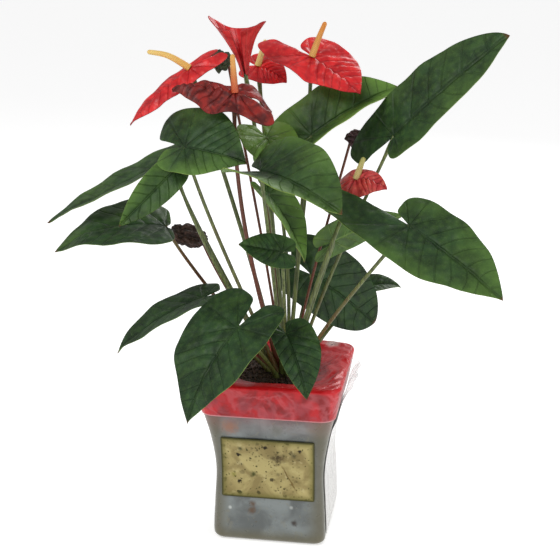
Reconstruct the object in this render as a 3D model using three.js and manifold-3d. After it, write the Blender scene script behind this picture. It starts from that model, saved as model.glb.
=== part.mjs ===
// A potted anthurium: seventeen heart-shaped leaves and nine red or withered flowers on long stems,
// growing from one crown in a square waisted pot with a foil wrap, a front panel and a clear film.
// Millimetres, +Z up. The origin is the centre of the pot's underside and -Y is the panel's side.
import * as THREE from 'three';
import * as BufferGeometryUtils from 'three/addons/utils/BufferGeometryUtils.js';
import Module from 'manifold-3d';

const wasm = await Module();
wasm.setup();

// Driving dimensions of the pot
const potHeight = 168;
const baseHalf = 56;
const waistHalf = 53.5;
const rimHalf = 70;
const waistHeight = 76;
const footRadius = 7;
const potWall = 2.5;
const potFloor = 3;
const footCorner = 9;
const rimCorner = 15;
const soilBelowRim = 8;

// Driving dimensions of what covers the pot
const clearance = 0.4;
const wrapThickness = 1.2;
const wrapDepth = 32;
const wrapOpening = 40;
const wrapOpeningCorner = 32;
const panelHalfWidth = 46;
const panelLow = 48;
const panelHigh = 112;
const panelThickness = 1.2;
const filmThickness = 0.8;
const filmLow = 8;
const filmFlare = 8;

// Driving dimensions of the plant
const growth = 1;
const bladeThickness = 0.8;
const petioleRadius = 1.4;
const stalkRadius = 1.6;
const spadixFoot = 3.2;
const spadixTip = 2;
const crownX = 8;
const crownY = 4;
const crownDepth = 20;
const stemSpacing = 1.3;
const rootLean = 0.12;

// Driving dimensions of the half rolled spathe: degrees for its two edges, and shares for its curl
const funnelFrom = -70;
const funnelTo = 260;
const funnelFoot = 3.2;
const funnelFlare = 20;
const funnelCurl = 1.7;
const funnelNarrow = 0.75;
const funnelWiden = 0.4;
const funnelDepth = 0.8;
const funnelHeight = 41;
const funnelLean = 8;
const hornRise = 8;
const leftHornRise = 4;

const soilTop = potHeight - soilBelowRim;
const group = new THREE.Group();
const plant = new THREE.Group();
plant.position.z = soilTop;
group.add(plant);

function addMesh(parent, name, geometry, color, roughness, metalness = 0) {
  const material = new THREE.MeshStandardMaterial({ color, roughness, metalness });
  const mesh = new THREE.Mesh(geometry, material);
  mesh.name = name;
  parent.add(mesh);
}

function closedGeometry(points, triangles) {
  const geometry = new THREE.BufferGeometry();
  geometry.setAttribute('position', new THREE.Float32BufferAttribute(points.flat(), 3));
  geometry.setIndex(triangles.flat());
  geometry.computeVertexNormals();
  return geometry;
}

// ---- Pot: a square section with round corners, lofted up a waisted profile ----

// A point of the flare from waist to rim, by its shares of the way out and of the way up
function flarePoint(out, up) {
  const half = waistHalf + (rimHalf - waistHalf) * out;
  return new THREE.Vector2(half, waistHeight + (potHeight - waistHeight) * up);
}

const wallLine = new THREE.SplineCurve([
  new THREE.Vector2(baseHalf - 1, 0),
  new THREE.Vector2(baseHalf, footRadius * 1.6),
  new THREE.Vector2((baseHalf + waistHalf) / 2, waistHeight * 0.55),
  new THREE.Vector2(waistHalf, waistHeight),
  flarePoint(0.27, 0.36),
  flarePoint(0.68, 0.68),
  new THREE.Vector2(rimHalf, potHeight),
]).getPoints(24);

// Half the outer width of the pot at a height
function wallHalf(z) {
  for (let i = 1; i < wallLine.length; i++) {
    const low = wallLine[i - 1];
    const high = wallLine[i];
    if (z <= high.y) {
      const share = (z - low.y) / (high.y - low.y);
      return low.x + (high.x - low.x) * share;
    }
  }
  return rimHalf;
}

function wallCorner(z) {
  const share = THREE.MathUtils.clamp((z - waistHeight) / (potHeight - waistHeight), 0, 1);
  return footCorner + (rimCorner - footCorner) * share;
}

function heightsBetween(low, high) {
  const inside = wallLine.map((point) => point.y).filter((z) => z > low + 1 && z < high - 1);
  return [low, ...inside, high];
}

// One ring of the square section: arcs at the four corners, straight between them
const arcSteps = 3;
const ringPoints = 4 * (arcSteps + 1);
function squareRing(half, corner, z) {
  const ring = [];
  for (let quarter = 0; quarter < 4; quarter++) {
    for (let step = 0; step <= arcSteps; step++) {
      const angle = (quarter + step / arcSteps) * Math.PI / 2;
      const middle = (quarter + 0.5) * Math.PI / 2;
      const centreX = Math.sign(Math.cos(middle)) * (half - corner);
      const centreY = Math.sign(Math.sin(middle)) * (half - corner);
      ring.push([centreX + corner * Math.cos(angle), centreY + corner * Math.sin(angle), z]);
    }
  }
  return ring;
}

// Joins square rings in profile order. A profile that starts and ends on the axis gets fans there,
// and any other profile closes on itself as a collar. The profile runs anticlockwise: out, up and in.
function squareLoft(profile, onAxis) {
  const points = profile.flatMap(([half, z, corner]) => squareRing(half, corner, z));
  const triangles = [];
  const rings = profile.length;
  const bands = onAxis ? rings - 1 : rings;
  for (let band = 0; band < bands; band++) {
    for (let k = 0; k < ringPoints; k++) {
      const a = band * ringPoints + k;
      const b = band * ringPoints + (k + 1) % ringPoints;
      const c = ((band + 1) % rings) * ringPoints + (k + 1) % ringPoints;
      const d = ((band + 1) % rings) * ringPoints + k;
      triangles.push([a, b, c], [a, c, d]);
    }
  }
  if (onAxis) {
    const first = points.push([0, 0, profile[0][1]]) - 1;
    const last = points.push([0, 0, profile[rings - 1][1]]) - 1;
    const top = (rings - 1) * ringPoints;
    for (let k = 0; k < ringPoints; k++) {
      const next = (k + 1) % ringPoints;
      triangles.push([first, next, k], [last, top + k, top + next]);
    }
  }
  return closedGeometry(points, triangles);
}

// The outside of the foot turns in through a quarter circle to the flat underside
function footProfile() {
  const profile = [];
  for (let step = 0; step <= 3; step++) {
    const angle = step / 3 * Math.PI / 2;
    const z = footRadius * (1 - Math.cos(angle));
    const half = wallHalf(footRadius) - footRadius * (1 - Math.sin(angle));
    profile.push([half, z, footCorner]);
  }
  return profile;
}

const outerWall = heightsBetween(footRadius, potHeight).slice(1).map((z) => [wallHalf(z), z, wallCorner(z)]);
const innerWall = heightsBetween(potFloor + footRadius, potHeight).reverse()
  .map((z) => [wallHalf(z) - potWall, z, wallCorner(z) - potWall]);
const innerFloor = [[wallHalf(potFloor) - potWall - footRadius, potFloor, footCorner - potWall]];
const potProfile = [...footProfile(), ...outerWall, ...innerWall, ...innerFloor];
addMesh(group, 'pot_body', squareLoft(potProfile, true), '#878b85', 0.35);

// ---- Soil: fills the pot, a clearance off its wall and floor, with a level top ----

const soilInset = potWall + clearance;
const soilWall = heightsBetween(potFloor + footRadius + clearance, soilTop)
  .map((z) => [wallHalf(z) - soilInset, z, wallCorner(z) - soilInset]);
const soilFloor = [wallHalf(potFloor) - soilInset - footRadius, potFloor + clearance, footCorner - soilInset];
addMesh(group, 'soil', squareLoft([soilFloor, ...soilWall], true), '#2e2119', 0.95);

// ---- Red wrap: hugs the top of the pot, folds over the rim and runs in over the soil ----

const halfway = (a, b) => (a + b) / 2;
function wrapProfile() {
  const low = potHeight - wrapDepth;
  const outside = heightsBetween(low, potHeight)
    .map((z) => [wallHalf(z) + clearance, z, wallCorner(z) + clearance]);
  const rimInside = rimHalf - potWall - 2;
  const cornerInside = rimCorner - potWall - 2;
  const over = [
    [rimHalf + clearance, potHeight + clearance, rimCorner + clearance],
    [rimInside, potHeight + clearance + 1, cornerInside],
    [halfway(rimInside, wrapOpening), halfway(potHeight, soilTop) + clearance,
      halfway(cornerInside, wrapOpeningCorner)],
    [wrapOpening, soilTop + clearance, wrapOpeningCorner],
  ];
  const under = [...outside.slice(0, -1), ...over];
  const outer = under.map(([half, z, corner], i) => {
    const level = i < outside.length - 1;
    const out = level || i === outside.length - 1 ? wrapThickness : 0;
    const up = level ? 0 : wrapThickness;
    return [half + out, z + up, corner + out];
  });
  return [...outer, ...under.reverse()];
}
addMesh(group, 'red_wrap', squareLoft(wrapProfile(), false), '#c8202f', 0.25);

// ---- Sheets that lie on a side of the pot: a grid with a front and a back ----

function evenly(from, to, count) {
  return Array.from({ length: count + 1 }, (_, i) => from + (to - from) * i / count);
}

function sheetSolid(columns, heights, place, thickness) {
  const points = [];
  for (const layer of [0, thickness]) {
    for (const z of heights) {
      for (const across of columns) {
        points.push(place(across, z, layer));
      }
    }
  }
  const wide = columns.length;
  const tall = heights.length;
  const at = (layer, row, column) => (layer * tall + row) * wide + column;
  const triangles = [];
  const quad = (a, b, c, d) => triangles.push([a, b, c], [a, c, d]);
  for (let row = 0; row < tall - 1; row++) {
    for (let column = 0; column < wide - 1; column++) {
      quad(at(1, row, column), at(1, row, column + 1), at(1, row + 1, column + 1), at(1, row + 1, column));
      quad(at(0, row, column), at(0, row + 1, column), at(0, row + 1, column + 1), at(0, row, column + 1));
    }
    quad(at(0, row, 0), at(1, row, 0), at(1, row + 1, 0), at(0, row + 1, 0));
    quad(at(1, row, wide - 1), at(0, row, wide - 1), at(0, row + 1, wide - 1), at(1, row + 1, wide - 1));
  }
  for (let column = 0; column < wide - 1; column++) {
    quad(at(0, 0, column), at(0, 0, column + 1), at(1, 0, column + 1), at(1, 0, column));
    const top = tall - 1;
    quad(at(1, top, column), at(1, top, column + 1), at(0, top, column + 1), at(0, top, column));
  }
  return closedGeometry(points, triangles);
}

const panelColumns = [-1, 0, 1].map((share) => share * panelHalfWidth);
const onFront = (across, z, layer) => [across, -(wallHalf(z) + clearance + layer), z];
const panelHeights = heightsBetween(panelLow, panelHigh);
const panel = sheetSolid(panelColumns, panelHeights, onFront, panelThickness);
addMesh(group, 'front_panel', panel, '#c9bb83', 0.6);

// The film stands off the right side just enough to pass the wrap, then flares out above it
function filmOffset(z) {
  const wrapLow = potHeight - wrapDepth;
  const share = THREE.MathUtils.clamp((z - wrapLow + 16) / 12, 0, 1);
  const flare = THREE.MathUtils.clamp((z - wrapLow) / wrapDepth, 0, 1);
  return clearance + share * (wrapThickness + 1) + filmFlare * flare * flare;
}
const filmWidth = waistHalf - footCorner;
const filmColumns = [-1, -0.33, 0.33, 1].map((share) => share * filmWidth);
const onRight = (across, z, layer) => [wallHalf(z) + filmOffset(z) + layer, across, z];
const filmHeights = heightsBetween(filmLow, potHeight);
addMesh(group, 'clear_film', sheetSolid(filmColumns, filmHeights, onRight, filmThickness), '#e6e4e0', 0.1);

// ---- Blades: leaves and spathes share one heart-shaped surface ----
// base is where the stem meets the blade and tip is its point, both from the crown at soil level.
// left and right are the half widths, seen from the base towards the tip with the upper face up.
// lobes are how far the left and right lobes reach behind the base, as shares of the length.
// roll turns the blade about its midrib, fold lifts each half, and droop lifts the middle.
// full is how wide each half stays towards the tip.

function halfOutline(width, lobe, full) {
  const shoulder = 0.22;
  const parts = [
    [[1, 0], [0.86 + 0.06 * full, 0.1 * width + 0.02 + 0.4 * full * width],
      [0.55 + 0.15 * full, width], [shoulder, width], 5],
    [[shoulder, width], [shoulder - 0.55 * (shoulder + lobe), width],
      [-1.1 * lobe, 0.95 * width], [-lobe, 0.48 * width], 3],
    [[-lobe, 0.48 * width], [-0.95 * lobe, 0.2 * width], [-0.9 * lobe, 0.12 * width],
      [-0.7 * lobe, 0.12 * width], 2],
  ];
  const points = [new THREE.Vector2(1, 0)];
  for (const part of parts) {
    const corners = part.slice(0, 4).map(([x, y]) => new THREE.Vector2(x, y));
    const curve = new THREE.CubicBezierCurve(...corners);
    points.push(...curve.getPoints(part[4]).slice(1));
  }
  return points;
}

function bladeFrame(spec) {
  const base = new THREE.Vector3(...spec.base).multiplyScalar(growth);
  const tip = new THREE.Vector3(...spec.tip).multiplyScalar(growth);
  const along = tip.clone().sub(base);
  const length = along.length();
  along.normalize();
  const level = new THREE.Vector3(0, 0, 1).addScaledVector(along, -along.z).normalize();
  const roll = THREE.MathUtils.degToRad(spec.roll);
  const side = new THREE.Vector3().crossVectors(level, along);
  const normal = level.multiplyScalar(Math.cos(roll)).addScaledVector(side, Math.sin(roll));
  const across = new THREE.Vector3().crossVectors(normal, along);
  return { base, along, across, normal, length };
}

// A point of the folded, drooping blade, lifted off its middle surface by height
function bladePoint(spec, frame, x, y, height) {
  const halfWidth = (y > 0 ? spec.left : spec.right) * growth;
  const [foldLeft, foldRight] = spec.fold;
  const fold = THREE.MathUtils.degToRad(y > 0 ? foldLeft : foldRight);
  const softness = 0.12 * halfWidth;
  const reach = Math.hypot(y, softness);
  const lift = reach - softness;
  const tilt = fold * Math.abs(y) / reach;
  const spread = Math.abs(y) - lift * (1 - Math.cos(fold)) - height * Math.sin(tilt);
  const share = x / frame.length;
  const arch = 4 * spec.droop * growth * share * (1 - share);
  const rise = lift * Math.sin(fold) + arch + height * Math.cos(tilt);
  return frame.base.clone()
    .addScaledVector(frame.along, x)
    .addScaledVector(frame.across, Math.sign(y) * spread)
    .addScaledVector(frame.normal, rise)
    .toArray();
}

const bladeRings = [0.35, 0.7, 1];
function bladeGeometry(spec) {
  const frame = bladeFrame(spec);
  const [leftLobe, rightLobe] = spec.lobes;
  const [leftFull, rightFull] = spec.full;
  const left = halfOutline(spec.left * growth / frame.length, leftLobe, leftFull);
  const right = halfOutline(spec.right * growth / frame.length, rightLobe, rightFull);
  const outline = [...left.reverse(), ...right.slice(1).map((point) => new THREE.Vector2(point.x, -point.y))];
  const count = outline.length;
  const points = [];
  for (const height of [bladeThickness / 2, -bladeThickness / 2]) {
    points.push(bladePoint(spec, frame, 0, 0, height));
    for (const ring of bladeRings) {
      for (const point of outline) {
        const scale = ring * frame.length;
        points.push(bladePoint(spec, frame, point.x * scale, point.y * scale, height));
      }
    }
  }
  const layer = 1 + bladeRings.length * count;
  const at = (side, ring, k) => side * layer + (ring === 0 ? 0 : 1 + (ring - 1) * count + k);
  const triangles = [];
  const quad = (a, b, c, d) => {
    if (a !== b) {
      triangles.push([a, b, c]);
    }
    triangles.push([a, c, d]);
  };
  for (let ring = 0; ring < bladeRings.length; ring++) {
    for (let k = 0; k < count - 1; k++) {
      quad(at(0, ring, k), at(0, ring, k + 1), at(0, ring + 1, k + 1), at(0, ring + 1, k));
      quad(at(1, ring, k + 1), at(1, ring, k), at(1, ring + 1, k), at(1, ring + 1, k + 1));
    }
    quad(at(0, ring, 0), at(0, ring + 1, 0), at(1, ring + 1, 0), at(1, ring, 0));
    const end = count - 1;
    quad(at(0, ring + 1, end), at(0, ring, end), at(1, ring, end), at(1, ring + 1, end));
  }
  const rim = bladeRings.length;
  for (let k = 0; k < count - 1; k++) {
    quad(at(0, rim, k), at(0, rim, k + 1), at(1, rim, k + 1), at(1, rim, k));
  }
  return closedGeometry(points, triangles);
}

// ---- Stems: a six-sided tube from the crown to just under its blade ----

const section = new THREE.Shape();
for (let corner = 0; corner < 6; corner++) {
  const angle = corner * Math.PI / 3;
  const point = [Math.cos(angle), Math.sin(angle)];
  if (corner === 0) {
    section.moveTo(...point);
  } else {
    section.lineTo(...point);
  }
}

function sectionOf(radius) {
  return new THREE.Shape(section.getPoints(1).map((point) => point.multiplyScalar(radius)));
}

// bend pushes the middle of a stem sideways, to keep it clear of what it passes
function bendOf(spec) {
  return (spec.bend ?? [0, 0]).map((value) => value * growth);
}

// Stems fan out from one growing point under the soil, so straight ones never cross, and a bent
// one starts a little towards its bend
function rootOf(spec) {
  const [x, y, z] = spec.base.map((value) => value * growth);
  const [bendX, bendY] = bendOf(spec);
  const share = crownDepth / (z + crownDepth);
  const root = new THREE.Vector2(share * (x - crownX), share * (y - crownY));
  return root.add(new THREE.Vector2(crownX + rootLean * bendX, crownY + rootLean * bendY));
}

// Neighbouring roots push each other apart until every pair has room
function settleRoots(specs) {
  const roots = specs.map(rootOf);
  const room = 2 * stalkRadius + stemSpacing;
  for (let pass = 0; pass < 200; pass++) {
    for (let i = 0; i < roots.length; i++) {
      for (let j = i + 1; j < roots.length; j++) {
        const apart = roots[j].clone().sub(roots[i]);
        const distance = Math.max(apart.length(), 0.01);
        if (distance < room) {
          apart.multiplyScalar((room - distance) / distance / 2);
          roots[i].sub(apart);
          roots[j].add(apart);
        }
      }
    }
  }
  return roots;
}

function stemGeometry(spec, root, radius, sunk = 0) {
  const frame = bladeFrame(spec);
  const short = bladeThickness / 2 + clearance + radius - sunk;
  const end = frame.base.clone().addScaledVector(frame.normal, -short);
  const start = new THREE.Vector3(root.x, root.y, clearance + 0.7 * radius);
  const [bendX, bendY] = bendOf(spec);
  const reach = end.clone().sub(start);
  const bend = new THREE.Vector3(bendX, bendY, 0);
  const partWay = (outwards, upwards) => start.clone().add(bend)
    .add(reach.clone().multiply(new THREE.Vector3(outwards, outwards, upwards)));
  const path = new THREE.CubicBezierCurve3(start, partWay(0.26, 0.36), partWay(0.68, 0.7), end);
  return new THREE.ExtrudeGeometry(sectionOf(radius), { steps: 9, extrudePath: path });
}

const leaves = [
  { base: [110, 0, 240], tip: [210, -10, 335], left: 40, right: 28, roll: -50,
    fold: [0, 10], lobes: [0.36, 0.1], full: [0.9, 0.6], droop: 4, bend: [0, 35] },
  { base: [30, 20, 235], tip: [110, 45, 280], left: 38, right: 45, roll: -50,
    fold: [5, 60], lobes: [0.62, 0.4], full: [0.5, 0.2], droop: 8 },
  { base: [130, -60, 170], tip: [215, -110, 120], left: 34, right: 42, roll: -30,
    fold: [10, 5], lobes: [0.2, 0.85], full: [0.5, 0.1], droop: 3 },
  { base: [-5, -60, 215], tip: [75, -110, 190], left: 44, right: 47, roll: -35,
    fold: [5, 50], lobes: [0.25, 0.25], full: [0.6, 0.2], droop: 10 },
  { base: [-75, -60, 235], tip: [-15, -75, 225], left: 42, right: 28, roll: -50,
    fold: [0, 5], lobes: [0.6, 0.35], full: [0.3, 0.1], droop: 4, bend: [-10, 0] },
  { base: [-100, -20, 215], tip: [-210, -60, 160], left: 22, right: 28, roll: 5,
    fold: [10, 10], lobes: [0.2, 0.2], full: [0.3, 0.3], droop: 0, bend: [-18, 20] },
  { base: [-100, -40, 155], tip: [-200, -70, 135], left: 42, right: 44, roll: 15,
    fold: [5, 5], lobes: [0.06, 0.06], full: [0.3, 0.2], droop: 12, bend: [-25, 35] },
  { base: [-87, -50, 212], tip: [-135, -75, 162], left: 17, right: 17, roll: 70,
    fold: [20, 20], lobes: [0.1, 0.1], full: [0.3, 0.3], droop: 0, bend: [-14, 0] },
  { base: [-70, -20, 80], tip: [-150, -50, 30], left: 31, right: 27, roll: 5,
    fold: [10, 10], lobes: [0.2, 0.2], full: [0.1, 0.3], droop: 6, bend: [0, -18] },
  { base: [-22, -90, 75], tip: [-62, -130, -5], left: 40, right: 50, roll: 12,
    fold: [4, 4], lobes: [0.36, 0.36], full: [0.1, 0], droop: 8 },
  { base: [20, -70, 65], tip: [45, -105, 15], left: 26, right: 16, roll: -10,
    fold: [10, 10], lobes: [0.2, 0.2], full: [0.3, 0.5], droop: 6 },
  { base: [25, 60, 85], tip: [90, 80, 30], left: 42, right: 36, roll: -60,
    fold: [5, 5], lobes: [0.35, 0.35], full: [1, 1], droop: 4 },
  { base: [74, 105, 60], tip: [114, 115, 60], left: 15, right: 15, roll: -20,
    fold: [10, 10], lobes: [0.1, 0.1], full: [0.3, 0.3], droop: 5 },
  { base: [14, -54, 139], tip: [-24, -70, 149], left: 19, right: 17, roll: 45,
    fold: [5, 5], lobes: [0.3, 0.3], full: [0.3, 0.3], droop: 0 },
  { base: [-10, 0, 235], tip: [5, -20, 205], left: 30, right: 30, roll: 0,
    fold: [10, 10], lobes: [0.5, 0.5], full: [0, 0], droop: 3, bend: [10, 8] },
  { base: [-5, -20, 185], tip: [30, -20, 120], left: 24, right: 22, roll: -20,
    fold: [20, 20], lobes: [0.25, 0.25], full: [0.3, 0.3], droop: 5, bend: [0, 12] },
  { base: [55, 0, 137], tip: [118, 30, 158], left: 24, right: 24, roll: 60,
    fold: [5, 5], lobes: [0.3, 0.3], full: [0.4, 0.4], droop: 3 },
];

// spadix is the tip of the flower's spike; a withered flower has its spathe dried onto its stalk
const flowers = [
  { base: [-78, -20, 301], tip: [-132, -40, 251], left: 18, right: 13, roll: 0,
    fold: [-40, 10], lobes: [0.44, 0.4], full: [0.3, 0.3], droop: 3, spadix: [-117, -25, 316],
    color: '#c62f35' },
  { base: [-30, 0, 295], tip: [-60, -5, 295], roll: 0, funnel: true, bend: [0, 26], color: '#c9343a' },
  { base: [-32, -40, 282], tip: [-88, -50, 285], left: 26, right: 18, roll: 15,
    fold: [-45, -5], lobes: [0.64, 0.6], full: [0.3, 0.3], droop: 4, spadix: [-34, -40, 317], bend: [-18, 0],
    color: '#6e1c20' },
  { base: [-32, 77, 293], tip: [-2, 72, 278], left: 18, right: 20, roll: -40,
    fold: [0, 0], lobes: [0.4, 0.4], full: [0.3, 0.3], droop: 4, spadix: [-24, 77, 319], color: '#8c1f26' },
  { base: [27, 40, 307], tip: [77, 15, 277], left: 34, right: 30, roll: -14,
    fold: [8, -14], lobes: [0.35, 0.8], full: [0.3, 0.3], droop: 1.5, spadix: [40, 40, 340], bend: [0, 25],
    color: '#d23c3a' },
  { base: [76, -4, 199], tip: [106, -14, 194], left: 14, right: 20, roll: -30,
    fold: [10, 10], lobes: [0.7, 0.7], full: [0.3, 0.3], droop: 4, spadix: [83, -4, 220], bend: [0, -30],
    color: '#b93236' },
];
const withered = [
  { base: [64, 45, 231], tip: [89, 45, 221], left: 10, right: 10, roll: -40,
    fold: [10, 10], lobes: [0.2, 0.2], full: [0.3, 0.3], droop: 2 },
  { base: [-77, 18, 128], tip: [-112, 8, 138], left: 13, right: 13, roll: 40,
    fold: [10, 10], lobes: [0.2, 0.2], full: [0.3, 0.3], droop: 2, bend: [-15, 20] },
  { base: [-50, 25, 305], tip: [-70, 20, 300], left: 11, right: 11, roll: 40,
    fold: [10, 10], lobes: [0.2, 0.2], full: [0.3, 0.3], droop: 2 },
];

const roots = settleRoots([...leaves, ...flowers, ...withered]);

leaves.forEach((leaf, i) => {
  const name = `leaf_${i + 1}`;
  addMesh(plant, `${name}_blade`, bladeGeometry(leaf), '#2f5b38', 0.45);
  addMesh(plant, `${name}_petiole`, stemGeometry(leaf, roots[i], petioleRadius), '#5d6435', 0.55);
});

// A spadix is a tapered spike with a round end, standing on the upper face of its spathe
function spadixGeometry(spec) {
  const frame = bladeFrame(spec);
  const [thick, thin] = [spadixFoot, spadixTip];
  const foot = frame.base.clone().addScaledVector(frame.normal, bladeThickness / 2 + clearance + thick);
  const tip = new THREE.Vector3(...spec.spadix).multiplyScalar(growth);
  const axis = tip.clone().sub(foot);
  const length = axis.length();
  const roundEnd = [[thin, length - 2], [thin * 0.6, length - 0.5], [0, length]];
  const profile = [[0, 0], [thick, 0], [thick, length * 0.3], ...roundEnd];
  const spike = new THREE.LatheGeometry(profile.map(([r, h]) => new THREE.Vector2(r, h)), 8);
  const turn = new THREE.Quaternion().setFromUnitVectors(new THREE.Vector3(0, 1, 0), axis.normalize());
  spike.applyQuaternion(turn);
  spike.translate(foot.x, foot.y, foot.z);
  return spike;
}

// A half rolled spathe stands on its stalk as a funnel, open at the front, and its mouth rises to a
// horn on either side
const funnelTurns = evenly(THREE.MathUtils.degToRad(funnelFrom), THREE.MathUtils.degToRad(funnelTo), 28);
const funnelRises = evenly(0, 1, 7);
function funnelGeometry(spec) {
  const [baseX, baseY, baseZ] = spec.base.map((value) => value * growth);
  const onFunnel = (turn, up, layer) => {
    const horn = Math.abs(Math.cos(turn));
    const leftHorn = Math.max(-Math.cos(turn), 0);
    const flare = funnelFlare * up ** funnelCurl * (funnelNarrow + funnelWiden * horn ** 2);
    const radius = growth * (funnelFoot + flare) + layer;
    const height = growth * up * (funnelHeight + hornRise * horn ** 3 + leftHornRise * leftHorn ** 4);
    const x = baseX - growth * funnelLean * up + radius * Math.cos(turn);
    return [x, baseY + funnelDepth * radius * Math.sin(turn), baseZ + height];
  };
  return sheetSolid(funnelTurns, funnelRises, onFunnel, bladeThickness);
}

flowers.forEach((flower, i) => {
  const name = `flower_${i + 1}`;
  const root = roots[leaves.length + i];
  const spathe = flower.funnel ? funnelGeometry(flower) : bladeGeometry(flower);
  addMesh(plant, `${name}_spathe`, spathe, flower.color, 0.35);
  addMesh(plant, `${name}_stalk`, stemGeometry(flower, root, stalkRadius), '#6b4a2e', 0.5);
  if (flower.spadix) {
    addMesh(plant, `${name}_spadix`, spadixGeometry(flower), '#e0a045', 0.6);
  }
});

function toSolid(geometry) {
  const bare = geometry.clone();
  bare.deleteAttribute('normal');
  bare.deleteAttribute('uv');
  const merged = BufferGeometryUtils.mergeVertices(bare, 1e-4);
  const vertProperties = new Float32Array(merged.attributes.position.array);
  const triVerts = new Uint32Array(merged.index.array);
  return new wasm.Manifold(new wasm.Mesh({ numProp: 3, vertProperties, triVerts }));
}

function toGeometry(solid) {
  const mesh = solid.getMesh();
  const geometry = new THREE.BufferGeometry();
  geometry.setAttribute('position', new THREE.BufferAttribute(mesh.vertProperties, 3));
  geometry.setIndex(new THREE.BufferAttribute(mesh.triVerts, 1));
  geometry.computeVertexNormals();
  return geometry;
}

withered.forEach((flower, i) => {
  const root = roots[leaves.length + flowers.length + i];
  const sunk = bladeThickness / 2 + clearance + stalkRadius + 2;
  const stalk = toSolid(stemGeometry(flower, root, stalkRadius, sunk));
  const joined = stalk.add(toSolid(bladeGeometry(flower)));
  addMesh(plant, `withered_flower_${i + 1}`, toGeometry(joined), '#3a2622', 0.8);
});

export default group;
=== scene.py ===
# A potted anthurium: a square waisted pot with its foil, panel and film, and a plant of seventeen
# leaves, six flowers and three withered flowers. Metres, +Z up, -Y is the panel's side.
import math
import random

import bmesh
import bpy
from mathutils import Matrix, Vector, noise


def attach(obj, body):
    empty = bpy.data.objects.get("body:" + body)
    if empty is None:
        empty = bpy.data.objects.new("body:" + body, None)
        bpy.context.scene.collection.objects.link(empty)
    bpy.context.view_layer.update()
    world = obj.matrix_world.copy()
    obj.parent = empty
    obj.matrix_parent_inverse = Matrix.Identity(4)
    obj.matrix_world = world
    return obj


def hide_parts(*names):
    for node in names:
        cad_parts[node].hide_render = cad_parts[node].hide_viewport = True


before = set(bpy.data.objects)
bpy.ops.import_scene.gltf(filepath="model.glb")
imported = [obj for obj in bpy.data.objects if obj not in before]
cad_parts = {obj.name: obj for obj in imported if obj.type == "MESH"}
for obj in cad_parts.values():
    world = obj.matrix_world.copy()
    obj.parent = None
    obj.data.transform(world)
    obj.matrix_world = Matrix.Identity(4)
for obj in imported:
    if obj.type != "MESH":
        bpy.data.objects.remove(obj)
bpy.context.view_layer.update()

# ---- Pot body ----
# The pot is one shell of milky grey marbled plastic, square in section with round corners. It draws
# in to a waist, flares to the rim and turns in through a round foot to a flat underside.
MM = 0.001
POT_HEIGHT = 168
POT_WALL = 2.5
POT_FLOOR = 3
POT_LIP = 1.2
LIP_FOOT = POT_HEIGHT - POT_LIP
WAIST_HEIGHT = 76
WAIST_HALF = 53.5
RIM_HALF = 70
FOOT_RADIUS = 7
FOOT_CORNER = 9
RIM_CORNER = 15


def flare_point(out, up):
    """A point of the flare from waist to rim, by its shares of the way out and of the way up."""
    half = WAIST_HALF + (RIM_HALF - WAIST_HALF) * out
    return Vector((half, WAIST_HEIGHT + (POT_HEIGHT - WAIST_HEIGHT) * up))


WALL_POINTS = [
    Vector((55, 0)),
    Vector((56, 11.2)),
    Vector((54.75, 41.8)),
    Vector((WAIST_HALF, WAIST_HEIGHT)),
    flare_point(0.27, 0.36),
    flare_point(0.68, 0.68),
    Vector((RIM_HALF, POT_HEIGHT)),
]


def smooth_line(points, steps):
    """A smooth line through the points, with so many steps between each pair."""
    line = []
    last = len(points) - 1
    for i in range(last):
        before, start, end = points[max(i - 1, 0)], points[i], points[i + 1]
        after = points[min(i + 2, last)]
        leave = (end - before) / 2
        arrive = (after - start) / 2
        for step in range(steps):
            t = step / steps
            bend = (start - end) * 2 + leave + arrive
            sweep = (end - start) * 3 - leave * 2 - arrive
            line.append(bend * t ** 3 + sweep * t ** 2 + leave * t + start)
    return line + [points[last]]


WALL_LINE = smooth_line(WALL_POINTS, 12)


def wall_half(z):
    """Half the outer width of the pot at a height, in millimetres."""
    for low, high in zip(WALL_LINE, WALL_LINE[1:]):
        if z <= high.y:
            return low.x + (high.x - low.x) * (z - low.y) / (high.y - low.y)
    return RIM_HALF


def wall_corner(z):
    share = min(max((z - WAIST_HEIGHT) / (POT_HEIGHT - WAIST_HEIGHT), 0), 1)
    return FOOT_CORNER + (RIM_CORNER - FOOT_CORNER) * share


ARC_STEPS = 7


def square_point(slot, side_steps, half, corner, z):
    """Corner number slot of a square section with round corners: an arc, then a straight side."""
    quarter, step = divmod(slot, ARC_STEPS + side_steps)

    def arc_point(turn, share):
        middle = (turn + 0.5) * math.pi / 2
        angle = (turn + share) * math.pi / 2
        reach = half - corner
        return Vector((math.copysign(reach, math.cos(middle)) + corner * math.cos(angle),
                       math.copysign(reach, math.sin(middle)) + corner * math.sin(angle), z))

    if step <= ARC_STEPS:
        return arc_point(quarter, step / ARC_STEPS)
    share = (step - ARC_STEPS) / side_steps
    return arc_point(quarter, 1).lerp(arc_point(quarter + 1, 0), share)


def extrude_rings(bm, sides, count, place):
    """Extrudes a circle count - 1 times. place(slot, step) gives each corner of each ring, in
    millimetres. Returns the edges of the first ring and of the last."""
    slot = bm.verts.layers.int.get("slot") or bm.verts.layers.int.new("slot")
    ring = bmesh.ops.create_circle(bm, segments=sides, radius=MM)["verts"]
    for index, vert in enumerate(ring):
        vert[slot] = index
        vert.co = place(index, 0) * MM
    first = list({edge for vert in ring for edge in vert.link_edges})
    last = first
    for step in range(1, count):
        made = bmesh.ops.extrude_edge_only(bm, edges=last)["geom"]
        for vert in made:
            if isinstance(vert, bmesh.types.BMVert):
                vert.co = place(vert[slot], step) * MM
        last = [edge for edge in made if isinstance(edge, bmesh.types.BMEdge) and edge.is_boundary]
    return first, last


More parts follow.
